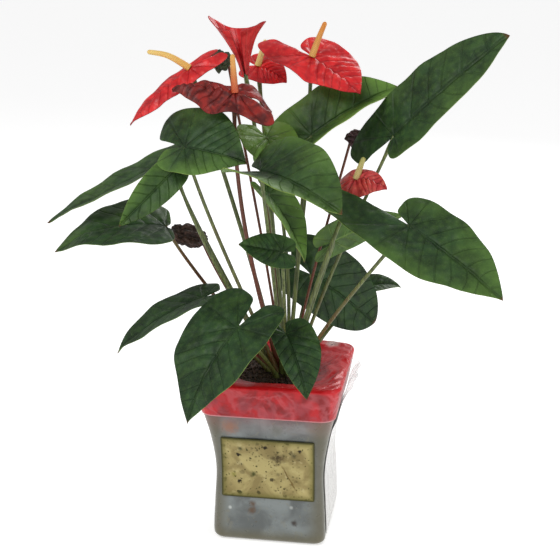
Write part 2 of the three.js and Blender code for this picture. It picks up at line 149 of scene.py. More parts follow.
def extrude_solid(bm, sides, count, place):
    """Rings as in extrude_rings, closed at both ends."""
    for end in extrude_rings(bm, sides, count, place):
        bmesh.ops.contextual_create(bm, geom=end)


def add_object(name, data):
    made = bpy.data.objects.new(name, data)
    bpy.context.scene.collection.objects.link(made)
    return made


def add_piece(name, bm, finishes, replaced, outward=True):
    """Makes the bmesh an object that rides with the plant and stands for the replaced nodes."""
    if outward:
        bmesh.ops.recalc_face_normals(bm, faces=bm.faces)
    for face in bm.faces:
        face.smooth = True
    mesh = bpy.data.meshes.new(name)
    bm.to_mesh(mesh)
    bm.free()
    for finish in finishes:
        mesh.materials.append(finish)
    piece = add_object(name, mesh)
    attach(piece, "root")
    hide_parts(*replaced)
    return piece


def paint(code):
    """A colour from its six hex digits."""
    parts = [int(code[i:i + 2], 16) / 255 for i in (0, 2, 4)]
    return (*[((part + 0.055) / 1.055) ** 2.4 for part in parts], 1)


def feed(tree, node, inputs):
    """Gives a node its inputs: another node's output, a plain value or a colour's six hex digits."""
    for key, value in inputs.items():
        if isinstance(value, bpy.types.NodeSocket):
            tree.links.new(value, node.inputs[key])
        else:
            node.inputs[key].default_value = paint(value) if isinstance(value, str) else value


def add(tree, kind, inputs=None, **settings):
    """Adds a shader node with its settings and inputs."""
    made = tree.nodes.new("ShaderNode" + kind)
    for key, value in settings.items():
        setattr(made, key, value)
    feed(tree, made, inputs or {})
    return made


def new_finish(name):
    """A new material, its node tree, its shader, and the place on the object as a node's output."""
    finish = bpy.data.materials.new(name)
    finish.use_nodes = True
    tree = finish.node_tree
    return finish, tree, tree.nodes["Principled BSDF"], add(tree, "TexCoord").outputs["Object"]


def mottle(tree, where, scale, detail=4, distortion=0):
    inputs = {"Vector": where, "Scale": scale, "Detail": detail, "Distortion": distortion}
    return add(tree, "TexNoise", inputs).outputs["Fac"]


def step_up(tree, value, low, high, top=1):
    """0 below low, top above high, and smooth between. low may be the larger."""
    inputs = {"Value": value, "From Min": low, "From Max": high, "To Min": 0, "To Max": top}
    return add(tree, "MapRange", inputs, interpolation_type="SMOOTHSTEP").outputs["Result"]


def calc(tree, operation, *values):
    return add(tree, "Math", dict(enumerate(values)), operation=operation).outputs[0]


def times(tree, one, other):
    return calc(tree, "MULTIPLY", one, other)


def blend(tree, share, first, second):
    inputs = {0: share, 6: first, 7: second}
    return add(tree, "Mix", inputs, data_type="RGBA").outputs[2]


def tinted(tree, colour, tints):
    """The colour with each tint laid over it in turn, by its share."""
    for share, code in tints:
        colour = blend(tree, share, colour, code)
    return colour


def relief(tree, height, depth):
    """A normal that reads height as a rise of so many metres."""
    return add(tree, "Bump", {"Height": height, "Distance": depth, "Strength": 1}).outputs["Normal"]


def front_point(x, z, off=0):
    """A point of the pot's front, off the wall by so many millimetres."""
    return x, -(wall_half(z) + off), z


def spot(tree, where, centre, size, ragged=0.4):
    """1 at a point of the surface, in millimetres, fading to 0 at about its size away."""
    middle = tuple(part * MM for part in centre)
    away = add(tree, "VectorMath", {0: where, 1: middle}, operation="DISTANCE").outputs["Value"]
    wobble = times(tree, mottle(tree, where, 300, 3), ragged * 2 * size * MM)
    return step_up(tree, calc(tree, "ADD", away, wobble), size * MM * (1 + ragged), size * MM * 0.5)


def axis_parts(tree, where):
    return tuple(add(tree, "SeparateXYZ", {"Vector": where}).outputs)


def pot_finish():
    finish, tree, shader, where = new_finish("marbled_plastic")
    x, y, z = axis_parts(tree, where)
    cloud = mottle(tree, where, 34, 5, 0.5)
    colour = blend(tree, step_up(tree, cloud, 0.36, 0.66), "4f5453", "757c7b")
    vein = mottle(tree, where, 90, 5, 2)
    # The pot turns olive at its upright edges, where the wall is thicker, and darker olive towards the
    # foot. Towards the top a painted red glow from the foil spreads down the wall below it
    edge = calc(tree, "MINIMUM", calc(tree, "ABSOLUTE", x), calc(tree, "ABSOLUTE", y))
    painted_red_glow = times(tree, step_up(tree, z, 0.112, 0.142, 0.6), mottle(tree, where, 60))
    colour = tinted(tree, colour, [
        (step_up(tree, vein, 0.56, 0.72, 0.45), "77735f"),
        (step_up(tree, edge, 0.034, 0.052, 0.85), "4f4a32"),
        (step_up(tree, z, 0.018, 0.004, 0.85), "565138"),
        (painted_red_glow, "97464a"),
    ])
    front_stains = [
        (-36, 124, 12, "8a5a3e", 0.8),
        (10, 123, 9, "5a5c50", 0.6),
        (-15, 41, 5, "4a3013", 0.95),
        (-16, 34, 6, "4e3416", 0.95),
        (26, 23.5, 4.8, "1f1306", 1),
        (-12, 22, 1.8, "4d4232", 0.8),
        (-38, 35.6, 2.4, "c9cdc9", 0.6),
        (23, 39.6, 2.6, "b9bdb9", 0.5),
    ]
    stains = [(front_point(x_place, z_place), *look) for x_place, z_place, *look in front_stains] + [
        ((20, 55, 60), 8, "7a6a55", 0.5),
        ((-55, 10, 50), 7, "7a6a55", 0.5),
        ((-20, 55, 30), 3, "43301f", 0.8),
    ]
    colour = tinted(tree, colour, [
        (times(tree, spot(tree, where, centre, size), strength), code)
        for centre, size, code, strength in stains])
    rough = step_up(tree, mottle(tree, where, 150), 0.2, 0.8, 0.2)
    feed(tree, shader, {
        "Base Color": colour, "Roughness": calc(tree, "ADD", rough, 0.24),
        "Normal": relief(tree, mottle(tree, where, 70, 5), 0.0007),
        "Coat Weight": 0.35, "Coat Roughness": 0.12})
    return finish


def pot_profile():
    """The pot's section as half width, corner radius and height: foot, wall, lip, inside, floor."""
    profile = []
    for step in range(7):
        angle = step / 6 * math.pi / 2
        half = wall_half(FOOT_RADIUS) - FOOT_RADIUS * (1 - math.sin(angle))
        profile.append((half, FOOT_CORNER, FOOT_RADIUS * (1 - math.cos(angle))))
    for step in range(1, 33):
        z = FOOT_RADIUS + (LIP_FOOT - FOOT_RADIUS) * step / 32
        profile.append((wall_half(z), wall_corner(z), z))
    for step in range(1, 6):
        angle = step / 5 * math.pi
        inset = POT_WALL / 2 * (1 - math.cos(angle))
        z = LIP_FOOT + POT_LIP * math.sin(angle)
        profile.append((RIM_HALF - inset, RIM_CORNER - inset, z))
    for step in range(1, 17):
        z = LIP_FOOT - (POT_HEIGHT - POT_FLOOR - FOOT_RADIUS) * step / 17
        profile.append((wall_half(z) - POT_WALL, wall_corner(z) - POT_WALL, z))
    profile.append((wall_half(POT_FLOOR) - POT_WALL - FOOT_RADIUS, FOOT_CORNER - POT_WALL, POT_FLOOR))
    return profile


POT_SIDE_STEPS = 10
pot_rings = pot_profile()
bm = bmesh.new()
extrude_solid(bm, 4 * (ARC_STEPS + POT_SIDE_STEPS), len(pot_rings),
              lambda slot, step: square_point(slot, POT_SIDE_STEPS, *pot_rings[step]))
add_piece("pot_shell", bm, [pot_finish()], ["pot_body"])

# ---- Soil ----
# Dark peat fills the pot to just under the rim. Its top is lumpy and strewn with loose crumbs and
# a few pale grains of bark and grit.
SOIL_TOP = 160
SOIL_GAP = POT_WALL + 0.4
CRUMB_REACH = 43
CRUMB_COUNT = 420
random.seed(11)


def soil_height(point):
    lump = noise.fractal(point * 0.09, 0.9, 2.1, 4)
    return SOIL_TOP + 1.6 * lump


def soil_finish():
    finish, tree, shader, where = new_finish("peat")
    grain = mottle(tree, where, 420, 8, 0.6)
    colour = blend(tree, step_up(tree, grain, 0.38, 0.62), "1c130d", "4a3526")
    fleck = add(tree, "TexVoronoi", {"Vector": where, "Scale": 330}).outputs["Distance"]
    colour = blend(tree, step_up(tree, fleck, 0.16, 0.1, 0.6), colour, "8a7152")
    feed(tree, shader, {"Base Color": colour, "Roughness": 0.95, "Normal": relief(tree, grain, 0.0015)})
    return finish


def soil_profile():
    profile = [(wall_half(POT_FLOOR) - SOIL_GAP - FOOT_RADIUS, FOOT_CORNER - SOIL_GAP, POT_FLOOR + 0.4)]
    for step in range(13):
        z = POT_FLOOR + FOOT_RADIUS + (SOIL_TOP - 2 - POT_FLOOR - FOOT_RADIUS) * step / 12
        profile.append((wall_half(z) - SOIL_GAP, wall_corner(z) - SOIL_GAP, z))
    half, corner, _ = profile[-1]
    for step in range(1, 27):
        share = 1 - step / 27
        profile.append((half * share, corner + (half - corner) * (1 - share) * share, None))
    return profile


soil_rings = soil_profile()


def soil_point(slot, step):
    half, corner, z = soil_rings[step]
    point = square_point(slot, POT_SIDE_STEPS, half, min(corner, half), 0)
    point.z = soil_height(point) if z is None else z
    return point


bm = bmesh.new()
extrude_solid(bm, 4 * (ARC_STEPS + POT_SIDE_STEPS), len(soil_rings), soil_point)
for crumb in range(CRUMB_COUNT):
    angle = random.uniform(0, math.tau)
    reach = CRUMB_REACH * math.sqrt(random.random())
    centre = Vector((reach * math.cos(angle), reach * math.sin(angle), 0))
    size = random.uniform(0.6, 2.1)
    centre.z = soil_height(centre) + size * 0.3
    lump = bmesh.ops.create_icosphere(bm, subdivisions=1, radius=size * MM)["verts"]
    for vert in lump:
        vert.co *= 1 + random.uniform(-0.3, 0.3)
    bmesh.ops.translate(bm, verts=lump, vec=centre * MM)
add_piece("potting_soil", bm, [soil_finish()], ["soil"])

# ---- Red foil ----
# A sleeve of glossy red film hugs the top of the pot. It is folded over the rim and gathered in
# over the soil, so its top is creased, and it is tucked down around the stems.
FOIL_LOW = 136
FOIL_OPENING = 40
FOIL_OPENING_CORNER = 32
FOIL_OFF = 1
FOIL_THICKNESS = 0.5
FOIL_SIDE_STEPS = 34


def foil_profile():
    """The film's middle line as half width, corner radius and height, and how far it is creased."""
    profile = []
    for step in range(15):
        z = FOIL_LOW + (POT_HEIGHT - FOIL_LOW) * step / 14
        profile.append((wall_half(z) + FOIL_OFF, wall_corner(z) + FOIL_OFF, z, 0.12 + 0.5 * step / 14))
    top = [
        Vector((RIM_HALF + FOIL_OFF, POT_HEIGHT, RIM_CORNER + FOIL_OFF)),
        Vector((RIM_HALF - 1.5, POT_HEIGHT + 2.2, RIM_CORNER - 1)),
        Vector((RIM_HALF - 8, POT_HEIGHT + 2.4, RIM_CORNER - 1)),
        Vector((54, POT_HEIGHT - 0.5, 20)),
        Vector((FOIL_OPENING + 4, SOIL_TOP + 4, FOIL_OPENING_CORNER)),
        Vector((FOIL_OPENING, SOIL_TOP + 1, FOIL_OPENING_CORNER)),
    ]
    over = smooth_line(top, 6)[1:]
    for step, (half, z, corner) in enumerate(over):
        share = (step + 1) / len(over)
        profile.append((half, corner, z, 0.6 + 1.2 * math.sin(math.pi * min(share * 1.15, 1))))
    return profile


foil_rings = foil_profile()


def crease(point):
    """How far the film stands proud at a point, from -1 to 1: sharp ridges with slack between, and
    long folds that sweep round the right side."""
    warp = Vector((noise.noise(point * 0.03), noise.noise(point * 0.03 + Vector((9, 4, 2))), 0))
    ridge = 1 - 2 * abs(noise.noise(point * 0.055 + warp * 1.7))
    fine = 1 - 2 * abs(noise.noise(point * 0.16 + warp * 3))
    sweep = (Vector((point.x, point.y)) - Vector((18, -12))).length
    folds = math.sin(sweep * 0.55 + 2 * noise.noise(point * 0.03)) * min(max(point.x / 30, 0), 1)
    return 0.7 * ridge + 0.15 * fine + 0.35 * folds - 0.3


def foil_point(slot, step):
    half, corner, z, amount = foil_rings[step]
    point = square_point(slot, FOIL_SIDE_STEPS, half, corner, z)
    out = Vector((point.x, point.y, 0)).normalized()
    up_share = min(max((z - POT_HEIGHT + 1) / 3, 0), 1) if step < 16 else 1
    lift = out.lerp(Vector((0, 0, 1)), up_share) * crease(point) * amount
    return point + lift


def foil_finish():
    finish, tree, shader, where = new_finish("red_film")
    z = axis_parts(tree, where)[2]
    swirl = mottle(tree, where, 26, 3, 1.8)
    colour = blend(tree, step_up(tree, swirl, 0.36, 0.62), "84070f", "b80e18")
    # Thin pink-white streaks: partly the milky film, partly painted highlight streaks on the gloss
    milk_and_sheen = calc(tree, "ABSOLUTE", calc(tree, "SUBTRACT", mottle(tree, where, 22, 4, 1.2), 0.5))
    side = step_up(tree, z, 0.166, 0.150)
    dull = times(tree, side, step_up(tree, mottle(tree, where, 60, 5, 1), 0.4, 0.66, 0.6))
    # Behind the stems the lining is pale, and loose soil lies on it
    lining = spot(tree, where, (48, 64, 167), 12, 0.25)
    dirt = times(tree, lining, step_up(tree, mottle(tree, where, 260), 0.62, 0.68))
    colour = tinted(tree, colour, [
        (step_up(tree, milk_and_sheen, 0.05, 0, 0.3), "cf6d74"),
        (dull, "9c4049"),
        (step_up(tree, z, 0.165, 0.169, 0.85), "d4101c"),
        (lining, "d9bdbb"),
        (dirt, "4a2420"),
        (spot(tree, where, (6, -66, 150), 3), "6d0d14"),
        (spot(tree, where, (-8, -66, 152), 2), "6d0d14"),
        (step_up(tree, z, 0.1374, 0.1366, 0.8), "c98a8e"),
    ])
    crinkle = mottle(tree, where, 60, 3, 2)
    feed(tree, shader, {
        "Base Color": colour, "Roughness": 0.34, "Specular IOR Level": 0.3,
        "Coat Weight": 0.12, "Coat Roughness": 0.1,
        "Normal": relief(tree, crinkle, 0.0011)})
    return finish


def add_wall(piece, thickness, faced=False):
    """Gives a sheet its thickness, in millimetres. A faced one shows its second material on its
    underside and its third on its edge."""
    wall = piece.modifiers.new("wall", "SOLIDIFY")
    wall.thickness = thickness * MM
    wall.offset = 0
    if faced:
        wall.material_offset = 1
        wall.material_offset_rim = 2


bm = bmesh.new()
extrude_rings(bm, 4 * (ARC_STEPS + FOIL_SIDE_STEPS), len(foil_rings), foil_point)
foil = add_piece("red_foil", bm, [foil_finish()], ["red_wrap"])
add_wall(foil, FOIL_THICKNESS)

# ---- Front panel ----
# A cream plate with dark grains, a brown knot and a crack is set on the pot's front. It has a thin
# dark border.
PANEL_HALF = 46
PANEL_LOW = 48
PANEL_HIGH = 112
PANEL_BORDER = 1.7
PANEL_THICKNESS = 1.2
PANEL_EDGE = 0.35


def panel_finish():
    finish, tree, shader, where = new_finish("speckled_stone")
    x, _, z = axis_parts(tree, where)
    colour = blend(tree, step_up(tree, mottle(tree, where, 48, 5, 0.8), 0.35, 0.65),
                   "86774b", "b0a26c")
    colour = blend(tree, step_up(tree, mottle(tree, where, 130), 0.58, 0.7, 0.5),
                   colour, "bcb080")
    for scale, size, share, code in [(150, 0.4, 0.6, "221a08"), (95, 0.3, 0.6, "2b2309"),
                                     (330, 0.4, 0.5, "4a4522")]:
        stray = add(tree, "TexNoise", {"Vector": where, "Scale": 330}).outputs["Color"]
        warp = add(tree, "VectorMath", {0: stray, 1: (0.0035, 0.0035, 0.0035)}, operation="MULTIPLY")
        bent = add(tree, "VectorMath", {0: where, 1: warp.outputs["Vector"]}, operation="ADD")
        cells = add(tree, "TexVoronoi", {"Vector": bent.outputs["Vector"], "Scale": scale})
        rare = add(tree, "SeparateColor", {"Color": cells.outputs["Color"]}).outputs[0]
        dots = times(tree, step_up(tree, cells.outputs["Distance"], size, size * 0.5),
                    step_up(tree, rare, share, share + 0.35))
        colour = blend(tree, dots, colour, code)
    knots = [
        (9, 91, 10, "3c2e18", 1),
        (13, 94, 5, "5c4c30", 0.9),
        (-15, 73, 5, "3a3f14", 1),
        (-34, 72, 4, "75722a", 0.85),
        (26, 96, 5, "45422a", 0.9),
        (-27, 52, 4, "2c3214", 1),
        (-27, 101, 3.8, "3a3c1e", 1),
        (30, 106, 2.2, "3a321e", 0.95),
        (-10, 100, 1.8, "3a321e", 0.95),
        (8, 57, 1.6, "3a321e", 0.95),
    ]
    for x_place, z_place, size, code, strength in knots:
        centre = front_point(x_place, z_place, 1.6)
        share = times(tree, spot(tree, where, centre, size, 0.7), strength)
        colour = blend(tree, share, colour, code)
    # The crack runs down from the knot to the lower right
    slope = calc(tree, "ADD", times(tree, x, 0.86), times(tree, z, 0.5))
    wander = times(tree, mottle(tree, where, 120), 0.008)
    across = calc(tree, "ABSOLUTE", calc(tree, "ADD", slope, calc(tree, "SUBTRACT", wander, 0.0567)))
    crack = times(tree, step_up(tree, across, 0.0013, 0.0004),
                 spot(tree, where, front_point(21, 71, 1.6), 21, 0.2))
    colour = blend(tree, times(tree, crack, 0.8), colour, "6b5526")
    side = calc(tree, "SUBTRACT", PANEL_HALF * MM, calc(tree, "ABSOLUTE", x))
    below = calc(tree, "SUBTRACT", z, PANEL_LOW * MM)
    above = calc(tree, "SUBTRACT", PANEL_HIGH * MM, z)
    inset = calc(tree, "MINIMUM", side, calc(tree, "MINIMUM", below, above))
    colour = blend(tree, step_up(tree, inset, 0.0085, 0.0012, 0.75), colour, "6a6530")
    colour = blend(tree, step_up(tree, inset, PANEL_BORDER * MM * 1.6, PANEL_BORDER * MM * 0.4, 0.92),
                   colour, "3c3b1b")
    pits = calc(tree, "SUBTRACT", mottle(tree, where, 180, 6), times(tree, crack, 0.6))
    feed(tree, shader, {
        "Base Color": colour, "Roughness": 0.55, "Specular IOR Level": 0.2,
        "Normal": relief(tree, pits, 0.0006)})
    return finish


def add_side_sheet(bm, across, up, place):
    """A grid of cells whose corners are laid on the pot's wall by place(across, up), both -1 to 1."""
    bmesh.ops.create_grid(bm, x_segments=across, y_segments=up, size=1)
    corners = [vert for vert in bm.verts if len(vert.link_edges) == 2]
    bmesh.ops.bevel(bm, geom=corners, offset=0.05, affect="VERTICES", segments=4,
                    profile=0.5, material=-1)
    for vert in bm.verts:
        vert.co = place(vert.co.x, vert.co.y) * MM


def panel_point(across, up):
    z = (PANEL_LOW + PANEL_HIGH) / 2 + up * (PANEL_HIGH - PANEL_LOW) / 2
    return Vector((across * PANEL_HALF, -(wall_half(z) + 1), z))


bm = bmesh.new()
add_side_sheet(bm, 24, 18, panel_point)
panel = add_piece("stone_panel", bm, [panel_finish()], ["front_panel"], outward=False)
add_wall(panel, PANEL_THICKNESS)
softened = panel.modifiers.new("rounded_edge", "BEVEL")
softened.width = PANEL_EDGE * MM
softened.segments = 2
softened.angle_limit = math.radians(50)

# ---- Clear film ----
# A loose sheet of clear film stands off the right side of the pot. It is slightly milky, has
# upright streaks and curls outwards at the rim.
FILM_LOW = 8
FILM_HALF = WAIST_HALF - FOOT_CORNER
FILM_THICKNESS = 0.3


def film_point(across, up):
    z = FILM_LOW + (POT_HEIGHT - FILM_LOW) * (up + 1) / 2
    passing = min(max((z - FOIL_LOW + 16) / 12, 0), 1)
    flare = min(max((z - FOIL_LOW) / (POT_HEIGHT - FOIL_LOW), 0), 1)
    ripple = noise.noise(Vector((across * 2.2, z * 0.02, 5))) * (0.3 + 3.2 * flare)
    off = 0.8 + passing * 2.2 + 8 * flare ** 3 + max(ripple, -1.2)
    shrug = (1 - across ** 2) * 3 * flare ** 2
    return Vector((wall_half(z) + off, across * FILM_HALF, z + shrug - 3 * flare ** 2))


def film_finish():
    finish, tree, shader, where = new_finish("clear_film")
    squeezed = add(tree, "Mapping", {"Vector": where, "Scale": (1, 1, 0.12)}).outputs["Vector"]
    streak = mottle(tree, squeezed, 110, 4, 0.4)
    colour = blend(tree, step_up(tree, streak, 0.4, 0.62), "c9c6c1", "a29f9a")
    z = axis_parts(tree, where)[2]
    milky = step_up(tree, z, 0.138, 0.12, 0.62)
    cover = calc(tree, "ADD", calc(tree, "ADD", milky, 0.22), step_up(tree, streak, 0.5, 0.7, 0.2))
    feed(tree, shader, {
        "Base Color": colour, "Alpha": cover, "Roughness": 0.15, "Coat Weight": 0.5,
        "Normal": relief(tree, streak, 0.0008)})
    return finish


bm = bmesh.new()
add_side_sheet(bm, 30, 48, film_point)
film = add_piece("side_film", bm, [film_finish()], ["clear_film"], outward=False)
add_wall(film, FILM_THICKNESS)

# ---- Leaf blades ----
# Each leaf is a heart-shaped leathery blade with a sunk midrib, side veins that run to the margin
# and a thin pale edge. The upper face is deep green and glossy and the underside lighter.
# Every row gives, in millimetres from the soil at the pot's axis: the point where the stem meets
# the blade, the tip, the half widths left and right, the roll about the midrib and the fold of each
# half in degrees, how far each lobe reaches back as a share of the length, the droop of the middle,
# the bend of the stem, and how light each half is.
LEAVES = [
    ((110, 0, 240), (210, -10, 335), (40, 28), -50, (0, 10), (0.36, 0.1), 4, (0, 35), (0.3, 0.45)),
    ((30, 20, 235), (110, 45, 280), (38, 45), -50, (5, 60), (0.62, 0.4), 8, (0, 0), (0.75, 0.95)),
    ((130, -60, 170), (215, -110, 120), (34, 42), -30, (10, 5), (0.2, 0.85), 3, (0, 0), (0.4, 0.45)),
    ((-5, -60, 215), (75, -110, 190), (44, 47), -35, (5, 50), (0.25, 0.25), 10, (0, 0), (0.5, 0.6)),
    ((-75, -60, 235), (-15, -75, 225), (42, 28), -50, (0, 5), (0.6, 0.35), 4, (-10, 0), (0.3, 0.6)),
    ((-100, -20, 215), (-210, -60, 160), (22, 28), 5, (10, 10), (0.2, 0.2), 0, (-18, 20), (0.4, 0.4)),
    ((-100, -40, 155), (-200, -70, 135), (42, 44), 15, (5, 5), (0.06, 0.06), 12, (-25, 35), (0.15, 0.4)),
    ((-87, -50, 212), (-135, -75, 162), (17, 17), 70, (20, 20), (0.1, 0.1), 0, (-14, 0), (0.45, 0.6)),
    ((-70, -20, 80), (-150, -50, 30), (31, 27), 5, (10, 10), (0.2, 0.2), 6, (0, -18), (0.1, 0.15)),
    ((-22, -90, 75), (-62, -130, -5), (40, 50), 12, (4, 4), (0.36, 0.36), 8, (0, 0), (0.15, 0.15)),
    ((20, -70, 65), (45, -105, 15), (26, 16), -10, (10, 10), (0.2, 0.2), 6, (0, 0), (0.15, 0.15)),
    ((25, 60, 85), (90, 80, 30), (42, 36), -60, (5, 5), (0.35, 0.35), 4, (0, 0), (0, 0)),
    ((74, 105, 60), (114, 115, 60), (15, 15), -20, (10, 10), (0.1, 0.1), 5, (0, 0), (0.3, 0.3)),
    ((14, -54, 139), (-24, -70, 149), (19, 17), 45, (5, 5), (0.3, 0.3), 0, (0, 0), (0.2, 0.3)),
    ((-10, 0, 235), (5, -20, 205), (30, 30), 0, (10, 10), (0.5, 0.5), 3, (10, 8), (1.6, 1.6)),
    ((-5, -20, 185), (30, -20, 120), (24, 22), -20, (20, 20), (0.25, 0.25), 5, (0, 12), (0.9, 1.1)),
    ((55, 0, 137), (118, 30, 158), (24, 24), 60, (5, 5), (0.3, 0.3), 3, (0, 0), (0.25, 0.3)),
]
# How full the left and the right half of each leaf are
LEAF_FULL = [(0.9, 0.6), (0.5, 0.2), (0.5, 0.1), (0.6, 0.2), (0.3, 0.1), (0.3, 0.3), (0.3, 0.2),
             (0.3, 0.3), (0.1, 0.3), (0.1, 0), (0.3, 0.5), (1, 1), (0.3, 0.3), (0.3, 0.3),
             (0, 0), (0.3, 0.3), (0.4, 0.4)]
BLADE_COLUMNS = 112
BLADE_RINGS = 46
LEAF_THICKNESS = 0.6
SIDE_VEINS = 6.5
LOBE_VEINS = 3
VEIN_SLANT = 0.62
LOBE_ANGLE = math.atan(1 / VEIN_SLANT)
HEAD = ["base", "tip", "half", "roll", "fold", "lobes", "droop", "bend"]


def bezier(corners, t):
    a, b, c, d = corners
    return a * (1 - t) ** 3 + b * (3 * t * (1 - t) ** 2) + c * (3 * t * t * (1 - t)) + d * t ** 3


def half_outline(width, lobe, full, t):
    """A point of half the outline, in blade lengths: t is 0 at the tip, 1 where the lobes part. A
    full blade stays wide towards its tip."""
    shoulder = 0.22
    back = shoulder - 0.55 * (shoulder + lobe)
    parts = [
        (0.5, [(1, 0), (0.86 + 0.06 * full, 0.1 * width + 0.02 + 0.4 * full * width),
               (0.55 + 0.15 * full, width), (shoulder, width)]),
        (0.86, [(shoulder, width), (back, width), (-1.1 * lobe, 0.95 * width), (-lobe, 0.48 * width)]),
        (1, [(-lobe, 0.48 * width), (-0.95 * lobe, 0.2 * width), (-0.9 * lobe, 0.12 * width),
             (-0.7 * lobe, 0.12 * width)]),
    ]
    start = 0
    for end, corners in parts:
        if t <= end:
            return bezier([Vector(corner) for corner in corners], (t - start) / (end - start))
        start = end
    return Vector(parts[2][1][3])


def from_soil(point):
    """A point given from the soil's surface, in millimetres from the pot's underside."""
    return Vector(point) + Vector((0, 0, SOIL_TOP))


def blade_axes(spec):
    """The blade's point of origin, its three directions and its length."""
    base, tip = from_soil(spec["base"]), from_soil(spec["tip"])
    along = (tip - base).normalized()
    level = (Vector((0, 0, 1)) - along * along.z).normalized()
    roll = math.radians(spec["roll"])
    normal = level * math.cos(roll) + level.cross(along) * math.sin(roll)
    return base, along, normal.cross(along), normal, (tip - base).length


def vein_phase(x, y, seed):
    """Counts side veins along the blade, and lobe veins around its base, both from the vein that
    leaves the base sideways. Whole numbers are veins."""
    forward = x - VEIN_SLANT * abs(y)
    stray = 0.45 * noise.noise(Vector((x * 3, y * 3, seed)))
    if forward > 0:
        return max(forward - 0.5 * y * y, 0) * (SIDE_VEINS + stray * 2) + forward * stray
    turn = math.atan2(abs(y), x) if x or y else LOBE_ANGLE
    return (turn - LOBE_ANGLE) / (math.pi - LOBE_ANGLE) * LOBE_VEINS


def blade_point(spec, axes, x, y, ring, texture):
    """A point of the folded, drooping blade. x and y are millimetres on the flat blade, ring is
    0 at the base and 1 on the margin, and texture is the ripple, the quilting and a seed."""
    base, along, across, normal, length = axes
    ripple, quilt, seed = texture
    side = 0 if y > 0 else 1
    fold = math.radians(spec["fold"][side])
    soft = 0.12 * spec["half"][side]
    lift = math.hypot(y, soft) - soft
    spread = abs(y) - lift * (1 - math.cos(fold))
    share = x / length
    rise = lift * math.sin(fold) + 4 * spec["droop"] * share * (1 - share)
    wave = noise.noise(Vector((x * 0.035, y * 0.035, seed)))
    frill = math.sin(x * 0.16 + seed * 3 + side * 2)
    rise += ripple * ring ** 2 * (1.6 * wave + 0.45 * frill)
    # The blade puffs up between its veins and sinks along its midrib
    puff = math.sin(math.pi * vein_phase(share, y / length, seed)) ** 2
    pinch = noise.noise(Vector((x * 0.11, y * 0.11, seed + 7)))
    rise += quilt * (puff * (1 - ring ** 4) + 0.6 * pinch) * min(ring * 4, 1)
    rise -= 1.1 * math.exp(-(y / 2) ** 2) * min(ring * 3, 1)
    return base + along * x + across * math.copysign(spread, y) + normal * rise


def blade_layers(bm):
    """The values that each corner of a blade keeps for the materials."""
    return [bm.verts.layers.float.new(name) for name in ["tone", "along", "across", "phase"]]


def face_towards(bm, way):
    bm.normal_update()
    if sum(face.normal.dot(way) for face in bm.faces) < 0:
        bmesh.ops.reverse_faces(bm, faces=bm.faces)


def blade_sheet(spec, texture, tones, full):
    """The blade's middle surface: a grid wound round its base, from one lobe past the tip to the
    other. Its corners keep their lightness and their place among the veins for the materials."""
    axes = blade_axes(spec)
    length = axes[4]
    bm = bmesh.new()
    tone, along, across, phase = blade_layers(bm)
    bmesh.ops.create_grid(bm, x_segments=BLADE_COLUMNS, y_segments=BLADE_RINGS, size=1)
    for vert in bm.verts:
        ring = (vert.co.y + 1) / 2
        side = 0 if vert.co.x < 0 else 1
        width, lobe = spec["half"][side] / length, spec["lobes"][side]
        point = half_outline(width, lobe, full[side], min(abs(vert.co.x), 1))
        x = point.x * ring
        y = point.y * ring * (1 if side == 0 else -1)
        vert[along] = x
        vert[across] = abs(y)
        vert[phase] = vein_phase(x, y, texture[2])
        shade = noise.noise(Vector((x * 3, y * 3, texture[2])))
        vert[tone] = min(max(tones[side] * (0.45 + 0.65 * ring ** 2) + 0.25 * shade, 0), 1)
        vert.co = blade_point(spec, axes, x * length, y * length, ring, texture) * MM
    bmesh.ops.remove_doubles(bm, verts=bm.verts, dist=1e-7)
    face_towards(bm, axes[3])
    return bm


def attribute(tree, name):
    return add(tree, "Attribute", attribute_name=name).outputs["Fac"]


def vein_mask(tree, width):
    """1 on the veins of a blade and 0 between them. width is a share of the gap between veins."""
    gap = calc(tree, "PINGPONG", attribute(tree, "phase"), 0.5)
    veins = step_up(tree, gap, width, 0, 0.7)
    midrib = times(tree, step_up(tree, attribute(tree, "across"), 0.02, 0.006),
                   calc(tree, "GREATER_THAN", attribute(tree, "along"), 0))
    return calc(tree, "MAXIMUM", veins, midrib)


def pucker_gap(tree, where, scale):
    """How far a point lies from the middle of its pucker."""
    inputs = {"Vector": where, "Scale": scale}
    return add(tree, "TexVoronoi", inputs, feature="SMOOTH_F1").outputs["Distance"]


def leaf_finish(name, deep, fresh, light, vein_code, roughness):
    finish, tree, shader, where = new_finish(name)
    veins = vein_mask(tree, 0.09)
    tone = attribute(tree, "tone")
    cloud = mottle(tree, where, 55, 5, 0.5)
    colour = blend(tree, step_up(tree, cloud, 0.32, 0.68), deep, fresh)
    patch = calc(tree, "ADD", tone, calc(tree, "MULTIPLY_ADD", mottle(tree, where, 120), 0.3, -0.15))
    grain = mottle(tree, where, 900, 3)
    pucker = pucker_gap(tree, where, 170)
    colour = tinted(tree, colour, [
        (step_up(tree, patch, 0.15, 1.05), light),
        (step_up(tree, grain, 0.5, 0.75, 0.18), light),
        # Painted highlight: the middle of each raised pucker is lighter
        (step_up(tree, pucker, 0.6, 0.1, 0.12), light),
        (times(tree, veins, 0.3), vein_code),
        (step_up(tree, attribute(tree, "along"), 0.96, 0.995, 0.8), "5e2f1c"),
    ])
    gloss = calc(tree, "MULTIPLY_ADD", mottle(tree, where, 180), 0.22, roughness)
    height = calc(tree, "SUBTRACT", times(tree, grain, 0.2), calc(tree, "ADD", veins, pucker))
    feed(tree, shader, {
        "Base Color": colour, "Roughness": gloss, "Normal": relief(tree, height, 0.0009),
        "Specular IOR Level": 0.22})
    return finish


leaf_faces = [
    leaf_finish("leaf_upper", "182c16", "284324", "64883a", "142510", 0.36),
    leaf_finish("leaf_underside", "30471f", "456429", "6b902c", "84a04e", 0.45),
    leaf_finish("leaf_edge", "4c6230", "66803c", "8b9e4c", "8b9e4c", 0.45),
]


